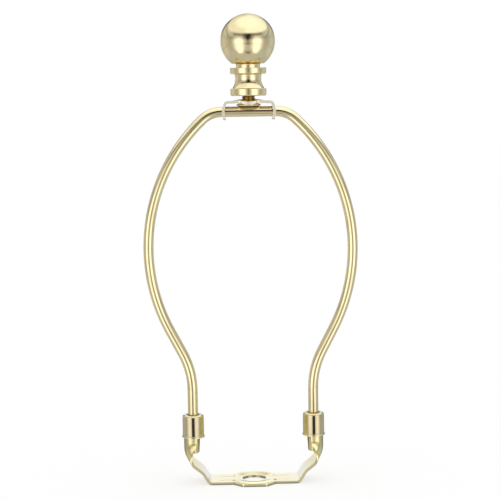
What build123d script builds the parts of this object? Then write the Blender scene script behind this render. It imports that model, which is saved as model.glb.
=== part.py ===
from build123d import *
from math import asin, atan2, cos, degrees, hypot, pi, radians, sin, sqrt, tan
import os

# Lamp harp: a bent wire loop stands in a pressed saddle and carries a shade below its finial.
# Millimetres. The origin is the centre of the saddle's pipe hole, on the underside.
# Z points up to the finial, X runs across the loop and Y runs through it.

# Harp wire
wire_d = 4.76
leg_spacing = 56.6
leg_above_trough = 12.0
waist_radius = 38.0
waist_run = 11.9
loop_width = 94.9
belly_radius = 82.2
corner_radius = 13.0
top_run = 25.2
wire_end_chamfer = 0.25
toe_play = 0.41
ear_t = 1.2
ear_play = 0.08
ear_length = 7.6
ear_end_reach = 0.25
ear_end_inset = 0.3

# Saddle
sheet_t = 1.3
strip_width = 14.8
pipe_hole_d = 10.72
pipe_hole_edge = 0.2
eye_depth = 24.0
eye_flat_width = 11.2
eye_foot_width = 19.6
eye_corner_radius = 1.6
ridge_height = 0.5
ridge_edge_gap = 0.8
ridge_outer_slope = 0.9
ridge_crest_width = 0.9
ridge_inner_slope = 2.8
ridge_parting = 6.4
ridge_end_slope = 1.6
groove_spacing = 6.9
groove_lap = 0.2
groove_end_inset = 5.0
groove_depth = 0.3
groove_tool_r = 0.8
foot_inset = 7.3
knee_inset = 4.4
knee_rise = 4.9
heel_rise = 11.5
foot_radius = 2.7
knee_radius = 6.0
heel_radius = 9.9
trough_length = 13.0
trough_end_chamfer = 0.6
curl_run = 2.1
curl_ease = 1.3
curl_sections = 5

# Ferrules
wire_play = 0.82
ferrule_play = 0.15
ferrule_wall = 0.4
ferrule_height = 10.8
ferrule_hole_play = 0.57
ferrule_shoulder_r = 1.1
ferrule_rim_t = 0.85
ferrule_rim_reach = 0.35
ferrule_rim_round = 0.3
ferrule_hole_round = 0.25

# Shade rest plate
plate_t = 1.3
plate_arm_width = 8.8
plate_eye_d = 12.3
plate_eye_blend = 2.5
crown_rise = 0.95
crown_drop = 1.4
crown_sections = 6
crown_trim = 0.5
claw_bend_run = 1.6
claw_shoulder_inset = 1.25
claw_tip_inset = 0.85
claw_tip_below_wire = 1.4
claw_shoulder_radius = 1.3
claw_bulge_radius = 6.0
claw_corner_radius = 1.4
claw_grip_gap = 0.05
claw_slot_width = 2.8

# Threaded stud
stud_d = 6.35
stud_hole_play = 0.05
stud_tip_chamfer = 0.6
rivet_head_d = 11.4
rivet_foot_d = 7.4
rivet_height = 1.3
rivet_gap = 0.03

# Finial
finial_above_plate = 2.2
flange_d = 16.9
lower_flange_t = 3.3
upper_flange_t = 2.85
spool_height = 12.8
spool_foot_d = 15.2
spool_waist_d = 12.2
spool_head_d = 12.8
waist_above_flange = 3.8
flange_round = 0.7
flange_edge_round = 0.25
flange_cove = 0.6
thread_play = 0.05
thread_run_out = 1.4
thread_chamfer = 0.5
spool_web = 0.7
ball_d = 25.4
ball_flat_d = 14.9
ball_edge_round = 0.8
neck_d = 11.3
neck_height = 1.82
neck_cove = 0.5
spigot_d = 8.0
spigot_length = 1.8
spigot_play = 0.02
seat_end_gap = 0.2

# Worked out from the sizes above
leg_x = leg_spacing / 2
wire_r = wire_d / 2
trough_inner_r = wire_r + wire_play
trough_mid_r = trough_inner_r + sheet_t / 2
trough_outer_r = trough_inner_r + sheet_t
trough_wrap = degrees(strip_width / trough_mid_r)
ferrule_bore_r = trough_outer_r + ferrule_play
ferrule_r = ferrule_bore_r + ferrule_wall
ferrule_hole_r = wire_r + ferrule_hole_play
ridge_foot_outer_r = eye_depth / 2 - ridge_edge_gap
ridge_crest_outer_r = ridge_foot_outer_r - ridge_outer_slope
ridge_crest_inner_r = ridge_crest_outer_r - ridge_crest_width
ridge_foot_inner_r = ridge_crest_inner_r - ridge_inner_slope
groove_start_x = eye_foot_width / 2 - groove_lap
groove_end_x = leg_x - foot_inset - groove_end_inset
claw_bulge_x = (top_run - plate_t) / 2
claw_shoulder_x = claw_bulge_x - claw_shoulder_inset
claw_tip_x = claw_bulge_x - claw_tip_inset
crown_half_length = claw_shoulder_x - claw_bend_run

# Middle line of the saddle's arm, on the sheet's middle surface
mid_z = sheet_t / 2
foot_point = (leg_x - foot_inset, mid_z)
knee_point = (leg_x - knee_inset, mid_z + knee_rise)
heel_point = (leg_x + trough_mid_r, mid_z + heel_rise)
heel_slope = degrees(atan2(heel_point[1] - knee_point[1], heel_point[0] - knee_point[0]))
heel_tangent = heel_radius * tan(radians(90 - heel_slope) / 2)
heel_end_z = heel_point[1] + heel_tangent
heel_start_z = heel_point[1] - heel_tangent * sin(radians(heel_slope))
curl_end_z = heel_end_z + curl_run
trough_top_z = curl_end_z + trough_length

# Foot of the wire's leg, where it stops short of the heel's bend
heel_inner_r = heel_radius - sheet_t / 2
toe_drop = sqrt((heel_inner_r - toe_play) ** 2 - (heel_inner_r - wire_play) ** 2)
leg_end_z = heel_end_z - toe_drop - wire_end_chamfer
ear_half_width = sqrt((trough_inner_r - ear_play) ** 2 - ear_t ** 2 / 4)

# Middle line of the wire. The waist turns just far enough to bring the belly out to the loop's width
bend_radii = waist_radius + belly_radius
bend_reach = loop_width / 2 - leg_x
waist_turn = atan2(bend_radii, waist_run) - asin((bend_radii - bend_reach) / hypot(bend_radii, waist_run))
belly_z = (trough_top_z + leg_above_trough + bend_radii * sin(waist_turn)
           + waist_run * cos(waist_turn))
corner_reach = top_run / 2 - loop_width / 2 + belly_radius
corner_rise = sqrt((belly_radius - corner_radius) ** 2 - corner_reach ** 2)
corner_angle = degrees(atan2(corner_reach, corner_rise))
wire_z = belly_z + corner_rise + corner_radius
wire_top_z = wire_z + wire_r

# Heights above the wire
plate_bottom_z = wire_top_z + rivet_height
plate_mid_z = plate_bottom_z + plate_t / 2
plate_top_z = plate_bottom_z + plate_t
finial_z = plate_top_z + finial_above_plate
spool_top_z = finial_z + spool_height
spigot_bottom_z = spool_top_z - spigot_length
bore_top_z = spigot_bottom_z - seat_end_gap - spool_web
stud_tip_z = bore_top_z - thread_run_out
ball_flat_z = spool_top_z + neck_height
ball_z = ball_flat_z + sqrt(ball_d ** 2 - ball_flat_d ** 2) / 2


def sheet_section(plane, width, thickness, wrap):
    """Section of a sheet of a given width, curled by wrap degrees towards the plane's +y side."""
    if wrap == 0:
        reach, lift = width / 2, thickness / 2
        outer = Line((-reach, -lift), (reach, -lift))
        inner = Line((-reach, lift), (reach, lift))
    else:
        middle = width / radians(wrap)
        outer = curl_arc(middle, middle + thickness / 2, wrap)
        inner = curl_arc(middle, middle - thickness / 2, wrap)
    ends = [Line(outer @ 0, inner @ 0), Line(outer @ 1, inner @ 1)]
    return plane * make_face([outer, inner] + ends)


def curl_arc(middle, radius, wrap):
    """Arc of one face of a curled sheet, whose centre stands middle above the plane's origin."""
    reach = radius * sin(radians(wrap) / 2)
    height = middle - radius * cos(radians(wrap) / 2)
    return ThreePointArc((-reach, height), (0, middle - radius), (reach, height))


def round_corner(face, x, z, radius):
    """Face in the XZ plane with its corner at x and z rounded."""
    return fillet(face.vertices().sort_by_distance((x, 0, z))[0], radius)


def swept_strip(points, radii, width, thickness):
    """Strip of sheet bent along a line of points in the XZ plane."""
    line = Plane.XZ * FilletPolyline(*points, radius=radii)
    start = Plane(origin=line @ 0, x_dir=(0, 1, 0), z_dir=line % 0)
    return sweep(start * Rectangle(width, thickness), path=line)


def curl_plane(part_way):
    """Plane across the arm where it curls: round the heel's bend, then straight up to the trough."""
    bend_length = heel_radius * radians(90 - heel_slope)
    along = part_way * (bend_length + curl_run)
    slope = radians(heel_slope) + min(along, bend_length) / heel_radius
    height = heel_end_z + max(along - bend_length, 0)
    centre_x = heel_point[0] - heel_radius
    origin = (centre_x + heel_radius * sin(slope), 0, height - heel_radius * cos(slope))
    return Plane(origin=origin, x_dir=(0, 1, 0), z_dir=(cos(slope), 0, sin(slope)))


def saddle_arm():
    """One arm: the flat foot, the S-bent riser, and the heel curling into an open trough."""
    sections = []
    for step in range(curl_sections, -1, -1):
        part_way = step / curl_sections
        wrap = trough_wrap * part_way ** curl_ease
        sections.append(sheet_section(curl_plane(part_way), strip_width, sheet_t, wrap))
    heel = loft(sections)
    trough = extrude(sections[0], amount=trough_length, dir=(0, 0, 1))
    top_edges = trough.edges().group_by(Axis.Z)[-1].filter_by(GeomType.CIRCLE)
    trough = chamfer(top_edges.sort_by(lambda edge: edge.radius)[-1], trough_end_chamfer)
    heel_start = sections[-1].center()
    points = [(0, mid_z), foot_point, knee_point, (heel_start.X, heel_start.Z)]
    riser = swept_strip(points, [foot_radius, knee_radius], strip_width, sheet_t)
    return riser + heel + trough


def eye_outline():
    """Widened middle of the saddle round the pipe hole."""
    half_depth, half_flat, half_foot = eye_depth / 2, eye_flat_width / 2, eye_foot_width / 2
    half_strip = strip_width / 2
    quarter = [(half_foot, half_strip), (half_flat, half_depth)]
    points = quarter + [(-x, y) for x, y in reversed(quarter)]
    points += [(-x, -y) for x, y in points]
    outline = make_face(Polyline(*points, close=True))
    tips = outline.vertices().filter_by(lambda corner: abs(corner.Y) > half_strip + eye_corner_radius)
    return fillet(tips, eye_corner_radius)


def ridge_pair():
    """Front and back crescents of the ridge pressed up round the pipe hole."""
    profile = make_face(Plane.XZ * Polyline(
        (ridge_foot_inner_r, 0), (ridge_crest_inner_r, ridge_height),
        (ridge_crest_outer_r, ridge_height), (ridge_foot_outer_r, 0), close=True))
    ring = revolve(profile, axis=Axis.Z)
    start = ridge_parting / 2
    wedge = make_face(Plane.YZ * Polyline(
        (start, 0), (start + ridge_end_slope, ridge_height), (eye_depth, ridge_height),
        (eye_depth, 0), close=True))
    front = extrude(wedge, amount=eye_foot_width, both=True)
    return ring & (front + mirror(front, about=Plane.XZ))


def stiffening_grooves():
    """Four short grooves that carry the ridge's line out along the arms."""
    tool_z = sheet_t + groove_tool_r - groove_depth
    groove_length = groove_end_x - groove_start_x
    tool = Cylinder(groove_tool_r, groove_length, rotation=(0, 90, 0))
    for end in (-1, 1):
        tool += Pos(end * groove_length / 2, 0, 0) * Sphere(groove_tool_r)
    middle_x = (groove_start_x + groove_end_x) / 2
    return [Pos(side * middle_x, row * groove_spacing / 2, tool_z) * tool
            for side in (-1, 1) for row in (-1, 1)]


def saddle():
    """Saddle, one pressed sheet: eye with its pipe hole, two arms and their troughs."""
    arm = saddle_arm()
    body = arm + mirror(arm, about=Plane.YZ) + extrude(eye_outline(), amount=sheet_t)
    ridges = ridge_pair()
    body += Pos(0, 0, sheet_t) * ridges
    body -= ridges
    for groove in stiffening_grooves():
        body -= groove
    hole_r = pipe_hole_d / 2
    body -= Cylinder(hole_r, 4 * sheet_t)
    lead = Cone(hole_r, hole_r + 2 * pipe_hole_edge, 2 * pipe_hole_edge)
    return body - Pos(0, 0, sheet_t) * lead


def leg_ears():
    """Two thin ears pinched out of a leg's foot, which keep the ferrule from dropping off it."""
    bottom_z = leg_end_z + ear_end_inset
    wide_z = bottom_z + ear_length
    side = [(wire_r + ear_end_reach, bottom_z), (ear_half_width, wide_z)]
    outline = side + [(0, wide_z + ear_half_width)] + [(-x, z) for x, z in reversed(side)]
    face = make_face(Plane.XZ * Polyline(*outline, close=True))
    return Pos(leg_x, 0, 0) * extrude(face, amount=ear_t / 2, both=True)


def harp_wire():
    """Harp wire: two straight legs, the swelling loop and the flat top, bent from one rod."""
    waist_angle = degrees(waist_turn)
    belly_angle = 90 - corner_angle + waist_angle
    top = Line((0, wire_z), (top_run / 2, wire_z))
    corner = JernArc(start=top @ 1, tangent=top % 1, radius=corner_radius, arc_size=-corner_angle)
    belly = JernArc(start=corner @ 1, tangent=corner % 1, radius=belly_radius, arc_size=-belly_angle)
    run = PolarLine(belly @ 1, waist_run, direction=belly % 1)
    waist = JernArc(start=run @ 1, tangent=run % 1, radius=waist_radius, arc_size=waist_angle)
    leg = Line(waist @ 1, (leg_x, leg_end_z))
    path = Plane.XZ * Wire([top, corner, belly, run, waist, leg])
    section = Plane(origin=(0, 0, wire_z), z_dir=(1, 0, 0)) * Circle(wire_r)
    half = sweep(section, path=path)
    half = chamfer(half.edges().group_by(Axis.Z)[0], wire_end_chamfer) + leg_ears()
    return half + mirror(half, about=Plane.YZ)


def ferrule(side):
    """Ferrule: a drawn cup with a hole in its rounded shoulder and a trimmed rim."""
    top_z = trough_top_z + ferrule_wall
    bottom_z = top_z - ferrule_height
    rim_r = ferrule_r + ferrule_rim_reach
    shell = Polyline(
        (ferrule_hole_r, top_z), (ferrule_r, top_z), (ferrule_r, bottom_z + ferrule_rim_t),
        (rim_r, bottom_z + ferrule_rim_t), (rim_r, bottom_z), (ferrule_bore_r, bottom_z),
        (ferrule_bore_r, trough_top_z), (ferrule_hole_r, trough_top_z), close=True)
    face = make_face(Plane.XZ * shell)
    face = round_corner(face, ferrule_r, top_z, ferrule_shoulder_r)
    face = round_corner(face, ferrule_hole_r, top_z, ferrule_hole_round)
    face = round_corner(face, rim_r, bottom_z, ferrule_rim_round)
    face = round_corner(face, rim_r, bottom_z + ferrule_rim_t, ferrule_rim_round)
    face = round_corner(face, ferrule_bore_r, trough_top_z, ferrule_shoulder_r - ferrule_wall)
    return Pos(side * leg_x, 0, 0) * revolve(face, axis=Axis.Z)


def crowned_sheet():
    """Middle of the shade rest plate, domed between its two flat ends."""
    sections = []
    for step in range(crown_sections + 1):
        along = 2 * step / crown_sections - 1
        swell = cos(along * pi / 2) if abs(along) < 1 else 0
        drop = crown_drop * swell
        wrap = degrees(8 * drop / plate_eye_d)
        origin = (along * crown_half_length, 0, plate_mid_z + crown_rise * swell)
        plane = Plane(origin=origin, x_dir=(0, 1, 0), z_dir=(-1, 0, 0))
        sections.append(sheet_section(plane, plate_eye_d + 2 * crown_trim, plate_t, wrap))
    return loft(sections)


def plate_outline():
    """Plan of the shade rest plate: a round eye on a straight strip."""
    outline = Rectangle(2 * crown_half_length, plate_arm_width) + Circle(plate_eye_d / 2)
    joins = outline.vertices().sort_by(lambda corner: abs(corner.X))[:4]
    return fillet(joins, plate_eye_blend)


def claw_end():
    """End of the shade rest plate, bent down and split into two claws that hug the wire."""
    tip_z = wire_z - wire_r - claw_tip_below_wire
    points = [(crown_half_length, plate_mid_z), (claw_shoulder_x, plate_mid_z),
              (claw_bulge_x, wire_z), (claw_tip_x, tip_z)]
    flap = swept_strip(points, [claw_shoulder_radius, claw_bulge_radius], plate_arm_width, plate_t)
    side_view = RectangleRounded(plate_arm_width, 2 * (plate_top_z - tip_z), claw_corner_radius)
    flap &= extrude(Plane.YZ * Pos(0, plate_top_z) * side_view, amount=2 * claw_bulge_x)
    grip = Pos(0, 0, wire_z) * Cylinder(wire_r + claw_grip_gap, 4 * claw_bulge_x, rotation=(0, 90, 0))
    slot = Pos(claw_bulge_x, 0, wire_z - 2 * wire_d) * Box(4 * plate_t, claw_slot_width, 4 * wire_d)
    return flap - grip - slot


def shade_rest_plate():
    """Shade rest plate: one stamping with a crowned eye and four claws."""
    crown_depth = plate_t + crown_rise + crown_drop
    blank = extrude(Pos(0, 0, plate_mid_z) * plate_outline(), amount=crown_depth, both=True)
    claws = claw_end()
    body = (crowned_sheet() & blank) + claws + mirror(claws, about=Plane.YZ)
    return body - Pos(0, 0, plate_mid_z) * Cylinder(stud_d / 2 + stud_hole_play, 2 * crown_depth)


def threaded_stud():
    """Stud that takes the finial: a plain shank at the thread's outside size, and a rivet head."""
    shank_r = stud_d / 2
    crown_r = plate_eye_d ** 2 / (8 * crown_drop)
    under_z = plate_bottom_z + crown_rise - rivet_gap
    head_r = rivet_head_d / 2
    head_z = under_z - head_r ** 2 / (2 * crown_r)
    profile = make_face(Plane.XZ * Polyline(
        (0, wire_top_z), (rivet_foot_d / 2, wire_top_z), (head_r, head_z),
        (shank_r, under_z - shank_r ** 2 / (2 * crown_r)), (shank_r, stud_tip_z - stud_tip_chamfer),
        (shank_r - stud_tip_chamfer, stud_tip_z), (0, stud_tip_z), close=True))
    return revolve(profile, axis=Axis.Z)


def finial_base():
    """Finial's spool: two flanges with a hollow waist, bored for the stud and for the ball."""
    flange_r = flange_d / 2
    low_z = finial_z + lower_flange_t
    high_z = spool_top_z - upper_flange_t
    foot = (spool_foot_d / 2, low_z)
    waist = (spool_waist_d / 2, low_z + waist_above_flange)
    head = (spool_head_d / 2, high_z)
    lower = Polyline((0, finial_z), (flange_r, finial_z), (flange_r, low_z), foot)
    hollow = ThreePointArc(foot, waist, head)
    upper = Polyline(head, (flange_r, high_z), (flange_r, spool_top_z), (0, spool_top_z), (0, finial_z))
    face = make_face(Plane.XZ * (lower + hollow + upper))
    for rim_z, radius in ((finial_z, flange_round), (low_z, flange_edge_round),
                          (high_z, flange_round), (spool_top_z, flange_edge_round)):
        face = round_corner(face, flange_r, rim_z, radius)
    for x, z in (foot, head):
        face = round_corner(face, x, z, flange_cove)
    bore_r = stud_d / 2 + thread_play
    bore = Pos(0, 0, finial_z) * Cylinder(bore_r, 2 * (bore_top_z - finial_z))
    lead = Pos(0, 0, finial_z) * Cone(bore_r + 2 * thread_chamfer, bore_r, 2 * thread_chamfer)
    seat = Pos(0, 0, spool_top_z) * Cylinder(
        spigot_d / 2 + spigot_play, 2 * (spigot_length + seat_end_gap))
    return revolve(face, axis=Axis.Z) - bore - lead - seat


def finial_ball():
    """Finial's ball, with its flat underside, neck and the spigot that seats in the spool."""
    top = (0, ball_z + ball_d / 2)
    flat_edge = (ball_flat_d / 2, ball_flat_z)
    steps = Polyline(
        top, (0, spigot_bottom_z), (spigot_d / 2, spigot_bottom_z), (spigot_d / 2, spool_top_z),
        (neck_d / 2, spool_top_z), (neck_d / 2, ball_flat_z), flat_edge)
    side = ThreePointArc(flat_edge, (ball_d / 2, ball_z), top)
    face = make_face(Plane.XZ * (steps + side))
    face = round_corner(face, *flat_edge, ball_edge_round)
    face = round_corner(face, neck_d / 2, ball_flat_z, neck_cove)
    return revolve(face, axis=Axis.Z)


def build_nodes():
    """Every separate piece, by its node's name."""
    return {
        "saddle": saddle(),
        "harp_wire": harp_wire(),
        "ferrule_left": ferrule(-1),
        "ferrule_right": ferrule(1),
        "shade_rest_plate": shade_rest_plate(),
        "threaded_stud": threaded_stud(),
        "finial_base": finial_base(),
        "finial_ball": finial_ball(),
    }


os.makedirs("parts", exist_ok=True)
for name, solid in build_nodes().items():
    export_step(solid, "parts/" + name + ".step")
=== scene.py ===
import math

import bmesh
import bpy
from mathutils import Matrix, Vector


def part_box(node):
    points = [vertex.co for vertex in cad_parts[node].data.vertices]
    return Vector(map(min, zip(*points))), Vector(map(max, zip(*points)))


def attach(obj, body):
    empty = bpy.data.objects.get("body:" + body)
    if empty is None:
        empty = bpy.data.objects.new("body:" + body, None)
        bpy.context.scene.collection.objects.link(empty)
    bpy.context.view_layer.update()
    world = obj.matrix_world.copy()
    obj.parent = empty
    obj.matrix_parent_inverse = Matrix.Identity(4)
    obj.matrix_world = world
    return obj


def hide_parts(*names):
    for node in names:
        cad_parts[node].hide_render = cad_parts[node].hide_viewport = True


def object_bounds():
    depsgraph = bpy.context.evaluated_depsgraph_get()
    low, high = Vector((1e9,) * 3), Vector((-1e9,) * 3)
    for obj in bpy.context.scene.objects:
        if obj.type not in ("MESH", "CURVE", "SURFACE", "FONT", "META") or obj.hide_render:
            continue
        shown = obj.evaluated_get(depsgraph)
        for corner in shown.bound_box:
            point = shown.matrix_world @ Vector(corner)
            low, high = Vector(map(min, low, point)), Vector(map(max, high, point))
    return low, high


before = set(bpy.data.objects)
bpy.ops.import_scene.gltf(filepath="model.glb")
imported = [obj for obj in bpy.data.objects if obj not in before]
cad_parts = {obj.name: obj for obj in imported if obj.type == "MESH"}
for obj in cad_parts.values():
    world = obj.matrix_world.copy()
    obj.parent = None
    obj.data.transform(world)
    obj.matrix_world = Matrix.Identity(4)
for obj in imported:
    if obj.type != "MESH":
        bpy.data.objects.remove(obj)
cad_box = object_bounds()

MM = 0.001
X, Y, Z = 0, 1, 2
white = (1, 1, 1)

# Camera, as the photograph was taken
aim_point = Vector((-0.37, 0.0, 109.5)) * MM
camera_distance = 711.0 * MM
camera_pitch = math.radians(6.3)
camera_yaw = math.radians(1.5)
camera_roll = math.radians(0.88)
camera_reach = (0.01, 20.0)
focal_pixels = 1530.0
picture_pixels = 500.0
sensor_width = 36.0

# Floor
floor_half = 4.0
floor_grey = 0.8
floor_glow = 0.6

# Thread on the stud, 27 turns to the inch, and the rivet head's profile as radius and height in mm
thread_pitch = 25.4 / 27 * MM
thread_depth = 0.52 * MM
thread_start = 0.6 * MM
stud_radius = 3.15 * MM
stud_tip_chamfer = 0.6 * MM
stud_sides = 72
rings_per_turn = 10
rivet_foot = ((3.70, 0), (4.55, 0.03), (5.35, 0.28))
rivet_rim = ((0, 0.62), (-0.02, 0.80))
rivet_top = (5.2, 1.10)
rivet_neck_height = 1.9

# Studio: plain soft lights round the object at five heights. Each height has one level for the
# front, the two lights to its left and right, the sides and the back. Angles are in degrees:
# turns are from the front to either side, and heights are from the horizon.
low_ring = (0.66, 1.40, 0.55, 0.70)
level_ring = (0.62, 1.05, 0.52, 0.56)
table_ring = (0.55, 1.50, 0.52, 0.68)
upper_ring = (0.14, 0.86, 0.38, 0.60)
canopy_ring = (0.05, 0.48, 0.54, 0.70)
ring_joins = ((level_ring, -14.8, -13.6), (table_ring, -12.2, -10.5), (upper_ring, 3, 10),
              (canopy_ring, 12, 19))
front_turn = 11
light_turns = (29, 48)
side_turn = 70
back_turn = 120
ring_peak = 1.7

# Below the horizon the room has one level, and the two lights reach further down than the rest
below_level = 0.57
light_foot_turns = (40, 17, 7)
light_foot_heights = (-32, -48)
light_foot_edge = 5

# The room above has one level, with a step from the left to the right at its edge
roof_level = 1.3
roof_edge_left = 0.98
roof_edge_right = 1.22
roof_edge_turns = (-25, -3)
roof_edge_heights = (46, 68)
roof_heights = (28, 34)

# Dark gap between the two lights, narrower and paler in its middle part
gap_strength = 0.99
gap_join = (-11.6, -12.1)
gap_halves = (4.0, 14.5)
gap_edge = (0.75, 1.25)
gap_foot = (-14.5, -13.8)
gap_top = (25, 20)
gap_middle = (-3.3, 8.4, 0.3)
gap_middle_join = (-1.5, -4)
gap_middle_paler = (0.57, 0.88)

# Bright backdrop behind the object, with a dark rim beside it
backdrop_level = 1.6
backdrop_join = (3, 10)
backdrop_turns = (148, 160)
backdrop_edge = 8
backdrop_foot = (-20, -10)
backdrop_top = (28, 22)
rim_level = 0.15
rim_turns = (157, 8, 4)
rim_foot = (7, 12)

# Dark edges: the table's front edge, the canopy's edge, and a flag that leans outwards
front_edge_heights = (-49, 6, 3)
front_edge_turns = (20, 9)
front_edge_strength = 0.6
canopy_edge_heights = (25, 3.5, 2)
canopy_edge_turns = (75, 60)
canopy_edge_strength = 0.6
flag_lean = 2.6
flag_pivot_height = 14
flag_turns = (87, 7, 6)
flag_heights = (23, 9, 3)
flag_strength = 0.5

# Tints
cool_light = (0.93, 1.0, 1.06)
cool_turns = (62, 92)
backdrop_light = (0.95, 1.0, 1.36)

# Metal
brass = (0.93, 0.80, 0.48)
pale_brass = (0.99, 0.94, 0.79)
warm_brass = (0.80, 0.69, 0.44)
saddle_brass = (0.94, 0.83, 0.44)
# paler tone for the saddle's middle: a painted highlight standing for its whiter shine
flat_highlight_brass = (0.945, 0.85, 0.51)
# dark tone for painted shade on the saddle
painted_shade_brass = (0.46, 0.41, 0.25)
# painted shade for the saddle's embossed grooves
groove_shade_brass = (0.55, 0.50, 0.34)
# darker tone for painted shade on the ferrules' inboard side
inboard_shade_brass = (0.78, 0.65, 0.26)
# pale tone for a painted highlight along the ferrules' bottom rim
rim_highlight_brass = (0.99, 0.93, 0.72)
# duller tone for painted shade on the wire's feet inside the troughs
foot_shade_brass = (0.68, 0.60, 0.36)
thread_brass = (0.50, 0.34, 0.12)
shaded_brass = (0.82, 0.65, 0.40)
metal_specular = (0.55, 0.55, 0.5, 1)
drift_scale = 160.0
drift_range = (0.35, 0.75)
grain_range = (0.3, 0.7)
rough_swing = (0.75, 1.3)
cut_facing = (0.75, 0.95)

# Patches of another tone, most of them painted shade or painted highlight. Each limit has its axis,
# and the distances along it in mm, alike on both sides of the middle, where the tone starts and
# where it is full.
saddle_patches = (
    # painted highlight: paler tone over the saddle's middle
    (flat_highlight_brass, (X, 26.8, 24.8)),
    # painted shade on the outer curls of the troughs
    (painted_shade_brass, (X, 30.9, 32.5)),
    # painted shade along the bottom of the sheet across the middle
    (painted_shade_brass, (X, 23.5, 22.0), (Z, 0.80, 0.50)),
    # painted shade in the embossed grooves
    (groove_shade_brass, (X, 16.4, 15.8), (X, 9.2, 9.9), (Y, 2.7, 3.1), (Y, 4.2, 3.8)),
    # painted shade inside the pipe hole
    (painted_shade_brass, (X, 6.0, 5.6), (Y, 6.0, 5.6), (Z, 1.28, 1.20)))
wire_patches = (
    # painted shade on the wire's feet inside the troughs
    (foot_shade_brass, (Z, 24.0, 19.0)),
    (shaded_brass, (X, 12.4, 11.6), (Z, 173.9, 174.6)))
ferrule_patches = (
    # painted shade on each ferrule's inboard side
    (inboard_shade_brass, (X, 26.0, 24.4)),
    # painted highlight along each ferrule's bottom rim
    (rim_highlight_brass, (Z, 22.2, 21.8)))
stud_patches = ((thread_brass, (Z, 177.9, 178.5)),)


def set_input(tree, socket, value):
    """Gives an input a value or another node's socket."""
    if isinstance(value, bpy.types.NodeSocket):
        tree.links.new(value, socket)
    else:
        socket.default_value = value


def node(tree, kind, inputs=None, **settings):
    """New shader node with its settings and inputs, each a value or another node's socket."""
    made = tree.nodes.new("ShaderNode" + kind)
    for name, value in settings.items():
        setattr(made, name, value)
    for key, value in (inputs or {}).items():
        set_input(tree, made.inputs[key], value)
    return made


def calc(tree, operation, *values):
    """Result of one sum on sockets or numbers."""
    return node(tree, "Math", dict(enumerate(values)), operation=operation).outputs[0]


def smooth(tree, value, start, end, low=0.0, high=1.0):
    """Value carried smoothly from low at start to high at end."""
    inputs = {"Value": value, "From Min": start, "From Max": end, "To Min": low, "To Max": high}
    return node(tree, "MapRange", inputs, interpolation_type="SMOOTHSTEP").outputs["Result"]


def blend_values(tree, share, first, second):
    """First value at share 0, second at share 1."""
    inputs = {"Factor": share, "A": first, "B": second}
    return node(tree, "Mix", inputs, data_type="FLOAT").outputs["Result"]


def blend_colours(tree, share, first, second):
    """First colour at share 0, second at share 1."""
    mixed = node(tree, "Mix", {"Factor": share}, data_type="RGBA")
    for key, value in ((6, first), (7, second)):
        if not isinstance(value, bpy.types.NodeSocket):
            value = (*value, 1)
        set_input(tree, mixed.inputs[key], value)
    return mixed.outputs[2]


def window(tree, value, centre, half_width, edge):
    """1 within half_width of the centre, falling to 0 over the edge."""
    away = calc(tree, "ABSOLUTE", calc(tree, "SUBTRACT", value, centre))
    return smooth(tree, away, half_width - edge, half_width + edge, 1.0, 0.0)


def dim(tree, level, share, strength=1.0):
    """Level taken down by the strength where share is 1."""
    loss = calc(tree, "MULTIPLY", share, strength)
    return calc(tree, "MULTIPLY", level, calc(tree, "SUBTRACT", 1.0, loss))


def ring_level(tree, share, levels):
    """Brightness round one height, by the share of a full turn from behind, leftwards."""
    front, light, side, back = levels
    half = ((front_turn, front), (light_turns[0], light), (light_turns[1], light),
            (side_turn, side), (back_turn, back))
    stops = [(-turn, level) for turn, level in reversed(half)] + list(half)
    ramp = node(tree, "ValToRGB", {"Fac": share})
    ramp.color_ramp.interpolation = "CARDINAL"
    spots = ramp.color_ramp.elements
    while len(spots) < len(stops):
        spots.new(0.5)
    for spot, (azimuth, _) in zip(spots, stops):
        spot.position = (azimuth + 180) / 360
    for spot, (_, level) in zip(spots, stops):
        grey = level / ring_peak
        spot.color = (grey, grey, grey, 1)
    return calc(tree, "MULTIPLY", ramp.outputs["Color"], ring_peak)


def rings(tree, azimuth, height):
    """Brightness of the soft lights round the object."""
    share = calc(tree, "DIVIDE", calc(tree, "ADD", azimuth, 180.0), 360.0)
    level = ring_level(tree, share, low_ring)
    for levels, start, end in ring_joins:
        above = ring_level(tree, share, levels)
        level = blend_values(tree, smooth(tree, height, start, end), level, above)
    return level


def front_gap(tree, turned, height):
    """Share of the dark gap between the two lights."""
    half = smooth(tree, height, *gap_join, *gap_halves)
    gap = smooth(tree, calc(tree, "DIVIDE", turned, half), *gap_edge, 1.0, 0.0)
    for limit in (gap_foot, gap_top):
        gap = calc(tree, "MULTIPLY", gap, smooth(tree, height, *limit))
    paler = calc(tree, "MULTIPLY", window(tree, height, *gap_middle),
                 smooth(tree, height, *gap_middle_join, *gap_middle_paler))
    return calc(tree, "MULTIPLY", gap, calc(tree, "SUBTRACT", gap_strength, paler))


def backdrop_share(tree, turned, height):
    """Share of the bright backdrop."""
    start = smooth(tree, height, *backdrop_join, *backdrop_turns)
    share = smooth(tree, calc(tree, "SUBTRACT", turned, start), 0, backdrop_edge)
    for limit in (backdrop_foot, backdrop_top):
        share = calc(tree, "MULTIPLY", share, smooth(tree, height, *limit))
    return share


def room_below(tree, level, turned, height):
    """Lights over the room's lower part."""
    foot = blend_values(tree, window(tree, turned, *light_foot_turns), *light_foot_heights)
    over_foot = calc(tree, "SUBTRACT", height, foot)
    share = smooth(tree, over_foot, -light_foot_edge, light_foot_edge)
    return blend_values(tree, share, below_level, level)


def roof(tree, azimuth, height):
    """Brightness of the room above."""
    edge = smooth(tree, azimuth, *roof_edge_turns, roof_edge_left, roof_edge_right)
    return blend_values(tree, smooth(tree, height, *roof_edge_heights), edge, roof_level)


def edge_share(tree, turned, height, turn_limits, height_window):
    """Share of a dark edge that runs across the front at one height."""
    return calc(tree, "MULTIPLY", window(tree, height, *height_window),
                smooth(tree, turned, *turn_limits))


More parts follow.
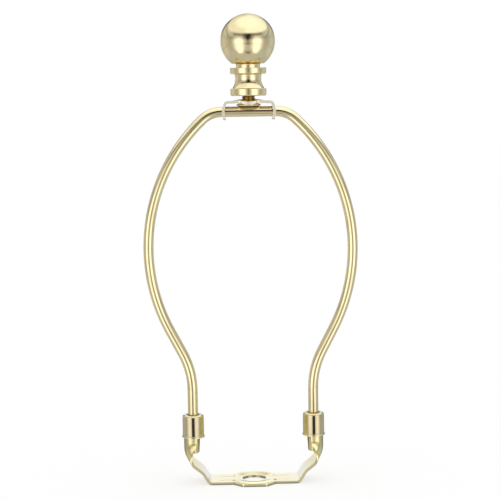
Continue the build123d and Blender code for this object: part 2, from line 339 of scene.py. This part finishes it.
def flag_share(tree, turned, height):
    """Share of the dark flag, which leans outwards as it rises."""
    risen = calc(tree, "SUBTRACT", height, flag_pivot_height)
    place = calc(tree, "SUBTRACT", turned, calc(tree, "MULTIPLY", risen, flag_lean))
    return calc(tree, "MULTIPLY", window(tree, place, *flag_turns),
                window(tree, height, *flag_heights))


def reflected_studio(tree):
    """Brightness and tint of the studio that the metal shows, by direction."""
    direction = node(tree, "TexCoord").outputs["Generated"]
    x, y, z = node(tree, "SeparateXYZ", {"Vector": direction}).outputs
    across = calc(tree, "ARCTAN2", x, calc(tree, "MULTIPLY", y, -1.0))
    azimuth = calc(tree, "DEGREES", across)
    turned = calc(tree, "ABSOLUTE", azimuth)
    height = calc(tree, "DEGREES", calc(tree, "ARCSINE", z))

    level = rings(tree, azimuth, height)
    level = dim(tree, level, front_gap(tree, turned, height))
    rim = calc(tree, "MULTIPLY", window(tree, turned, *rim_turns),
               smooth(tree, height, *rim_foot))
    level = blend_values(tree, rim, level, rim_level)
    backdrop = backdrop_share(tree, turned, height)
    level = blend_values(tree, backdrop, level, backdrop_level)
    level = room_below(tree, level, turned, height)

    front_edge = edge_share(tree, turned, height, front_edge_turns, front_edge_heights)
    level = dim(tree, level, front_edge, front_edge_strength)
    canopy_edge = edge_share(tree, turned, height, canopy_edge_turns, canopy_edge_heights)
    level = dim(tree, level, canopy_edge, canopy_edge_strength)
    above = smooth(tree, height, *roof_heights)
    level = blend_values(tree, above, level, roof(tree, azimuth, height))
    level = dim(tree, level, flag_share(tree, turned, height), flag_strength)

    tint = blend_colours(tree, smooth(tree, azimuth, *cool_turns), white, cool_light)
    return level, blend_colours(tree, backdrop, tint, backdrop_light)


def studio_world():
    """White to the camera, even soft light on the floor, and the studio's lights in the metal."""
    world = bpy.data.worlds.new("studio")
    world.use_nodes = True
    tree = world.node_tree
    tree.nodes.clear()
    path = node(tree, "LightPath").outputs
    glossy, tint = reflected_studio(tree)
    level = blend_values(tree, path["Is Glossy Ray"], 1.0, glossy)
    level = blend_values(tree, path["Is Camera Ray"], level, 1.0)
    colour = blend_colours(tree, path["Is Glossy Ray"], white, tint)
    light = node(tree, "Background", {"Color": colour, "Strength": level})
    output = node(tree, "OutputWorld")
    tree.links.new(light.outputs[0], output.inputs["Surface"])
    bpy.context.scene.world = world


def floor_material():
    """Plain pale floor, white to the camera where nothing shades it, with a faint shadow."""
    material = bpy.data.materials.new("floor_paper")
    material.use_nodes = True
    tree = material.node_tree
    tree.nodes.clear()
    camera_ray = node(tree, "LightPath").outputs["Is Camera Ray"]
    grey = blend_values(tree, camera_ray, floor_grey, 1.0)
    channels = {"Red": grey, "Green": grey, "Blue": grey}
    colour = node(tree, "CombineColor", channels).outputs[0]
    paper = node(tree, "BsdfDiffuse", {"Color": colour})
    glow = node(tree, "Emission", {"Color": (*white, 1), "Strength": 1.0})
    lit = node(tree, "MixShader", {"Fac": calc(tree, "MULTIPLY", camera_ray, floor_glow)})
    tree.links.new(paper.outputs[0], lit.inputs[1])
    tree.links.new(glow.outputs[0], lit.inputs[2])
    output = node(tree, "OutputMaterial")
    tree.links.new(lit.outputs[0], output.inputs["Surface"])
    return material


def new_object(name, mesh, material):
    """Object of a new mesh with its material."""
    mesh.materials.append(material)
    made = bpy.data.objects.new(name, mesh)
    bpy.context.scene.collection.objects.link(made)
    return made


def floor():
    """Floor that the saddle stands on. The metal reflects the studio, not the floor."""
    near, far = -floor_half, floor_half
    corners = [(near, near, 0), (far, near, 0), (far, far, 0), (near, far, 0)]
    mesh = bpy.data.meshes.new("floor")
    mesh.from_pydata(corners, [], [(0, 1, 2, 3)])
    made = new_object("floor", mesh, floor_material())
    made.location.z = cad_box[0][Z]
    made.visible_glossy = False


def camera():
    """Camera at the photograph's viewing angle."""
    data = bpy.data.cameras.new("camera")
    data.sensor_width = sensor_width
    data.lens = focal_pixels / picture_pixels * sensor_width
    data.clip_start, data.clip_end = camera_reach
    made = bpy.data.objects.new("camera", data)
    turn = (Matrix.Rotation(-camera_yaw, 3, "Z")
            @ Matrix.Rotation(math.pi / 2 - camera_pitch, 3, "X")
            @ Matrix.Rotation(-camera_roll, 3, "Z"))
    place = aim_point + turn @ Vector((0, 0, camera_distance))
    made.matrix_world = Matrix.Translation(place) @ turn.to_4x4()
    bpy.context.scene.collection.objects.link(made)
    bpy.context.scene.camera = made


def plating_tone(tree, place, colour, tarnish, patches):
    """Colour of a plating, which drifts towards its tarnish and has patches of other tones, most of
    them painted shade or painted highlight.
    """
    drift = node(tree, "TexNoise", {"Vector": place, "Scale": drift_scale, "Detail": 3.0})
    share = smooth(tree, drift.outputs[0], *drift_range)
    tone = blend_colours(tree, share, colour, tarnish)
    for patch_tone, *limits in patches:
        inside = 1.0
        for axis, start, end in limits:
            along = node(tree, "SeparateXYZ", {"Vector": place}).outputs[axis]
            edge = smooth(tree, calc(tree, "ABSOLUTE", along), start * MM, end * MM)
            inside = calc(tree, "MULTIPLY", inside, edge)
        tone = blend_colours(tree, inside, tone, patch_tone)
    return tone


def metal(name, colour, tarnish, roughness, grain, grain_depth, stretch=(1, 1, 1), sheared=0.0,
          patches=()):
    """Plated metal, whose fine grain breaks up its shine.

    Where sheared is above 0, faces to the front and back are as rough as that, as cut edges are."""
    material = bpy.data.materials.new(name)
    material.use_nodes = True
    tree = material.node_tree
    tree.nodes.clear()
    place = node(tree, "TexCoord").outputs["Object"]
    tone = plating_tone(tree, place, colour, tarnish, patches)
    stretched = node(tree, "Mapping", {"Vector": place, "Scale": stretch}).outputs[0]
    fine_inputs = {"Vector": stretched, "Scale": grain, "Detail": 4.0}
    fine = node(tree, "TexNoise", fine_inputs).outputs[0]
    smoothest, roughest = (roughness * swing for swing in rough_swing)
    rough = smooth(tree, fine, *grain_range, smoothest, roughest)
    if sheared:
        normal = node(tree, "TexCoord").outputs["Normal"]
        facing = node(tree, "SeparateXYZ", {"Vector": normal}).outputs[Y]
        cut = smooth(tree, calc(tree, "ABSOLUTE", facing), *cut_facing)
        rough = blend_values(tree, cut, rough, sheared)
    bump = node(tree, "Bump", {"Height": fine, "Strength": 1.0, "Distance": grain_depth})
    shader = node(tree, "BsdfPrincipled", {
        "Base Color": tone, "Metallic": 1.0, "Roughness": rough,
        "Specular Tint": metal_specular, "Normal": bump.outputs[0]})
    output = node(tree, "OutputMaterial")
    tree.links.new(shader.outputs[0], output.inputs["Surface"])
    return material


def dress(name, material):
    """Gives a carried-over node its finish."""
    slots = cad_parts[name].data.materials
    slots.clear()
    slots.append(material)


def lathe(name, profile, sides):
    """Mesh of rings about Z. A ring is a function that gives radius and height by angle."""
    mesh = bmesh.new()
    rows = []
    for ring in profile:
        row = []
        for step in range(sides):
            angle = 2 * math.pi * step / sides
            radius, height = ring(angle)
            spot = (radius * math.cos(angle), radius * math.sin(angle), height)
            row.append(mesh.verts.new(spot))
        rows.append(row)
    for low, high in zip(rows, rows[1:]):
        for step in range(sides):
            after = (step + 1) % sides
            mesh.faces.new((low[step], low[after], high[after], high[step]))
    mesh.faces.new(list(reversed(rows[0])))
    mesh.faces.new(rows[-1])
    data = bpy.data.meshes.new(name)
    mesh.to_mesh(data)
    mesh.free()
    for face in data.polygons:
        face.use_smooth = True
    return data


def stud_thread(material):
    """Stud with its rolled thread and the rivet head under the plate."""
    low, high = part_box("threaded_stud")
    plate_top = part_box("shade_rest_plate")[1].z
    head_radius = (high.x - low.x) / 2

    def plain(radius, height):
        return lambda angle: (radius, height)

    def threaded(height, reach):
        tip_radius = stud_radius + (high.z - stud_tip_chamfer - height)

        def ring(angle):
            phase = (height / thread_pitch - angle / (2 * math.pi)) % 1
            depth = thread_depth * reach * 2 * min(phase, 1 - phase)
            return min(stud_radius - depth, tip_radius), height
        return ring

    head = [(radius * MM, rise * MM) for radius, rise in rivet_foot]
    head += [(head_radius + inset * MM, rise * MM) for inset, rise in rivet_rim]
    head += [(rivet_top[0] * MM, rivet_top[1] * MM), (stud_radius, rivet_neck_height * MM)]
    profile = [plain(radius, low.z + rise) for radius, rise in head]
    start = plate_top - thread_start
    steps = int((high.z - start) / (thread_pitch / rings_per_turn))
    for step in range(steps + 1):
        height = start + (high.z - start) * step / steps
        profile.append(threaded(height, min(1, step / rings_per_turn)))
    made = new_object("stud_thread", lathe("stud_thread", profile, stud_sides), material)
    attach(made, "harp_body")
    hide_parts("threaded_stud")


bpy.context.scene.view_settings.view_transform = "Standard"
studio_world()
floor()
camera()

saddle_gold = metal("saddle_gold", saddle_brass, (0.87, 0.75, 0.38), 0.16, 1400, 0.006 * MM,
                    sheared=0.32, patches=saddle_patches)
wire_gold = metal("wire_gold", brass, (0.86, 0.74, 0.44), 0.10, 2600, 0.004 * MM,
                  stretch=(1, 1, 0.06), patches=wire_patches)
ferrule_gold = metal("ferrule_gold", warm_brass, (0.72, 0.62, 0.39), 0.06, 1800, 0.001 * MM,
                     patches=ferrule_patches)
plate_gold = metal("plate_gold", pale_brass, (0.96, 0.89, 0.69), 0.16, 1500, 0.004 * MM,
                   sheared=0.5)
stud_gold = metal("stud_gold", brass, (0.86, 0.74, 0.44), 0.22, 2400, 0.006 * MM,
                  patches=stud_patches)
base_gold = metal("base_gold", brass, (0.86, 0.73, 0.44), 0.12, 1500, 0.003 * MM,
                  stretch=(0.2, 0.2, 3))
ball_gold = metal("ball_gold", brass, (0.87, 0.75, 0.46), 0.14, 1100, 0.003 * MM)

dress("saddle", saddle_gold)
dress("harp_wire", wire_gold)
dress("ferrule_left", ferrule_gold)
dress("ferrule_right", ferrule_gold)
dress("shade_rest_plate", plate_gold)
dress("threaded_stud", stud_gold)
dress("finial_base", base_gold)
dress("finial_ball", ball_gold)
stud_thread(stud_gold)
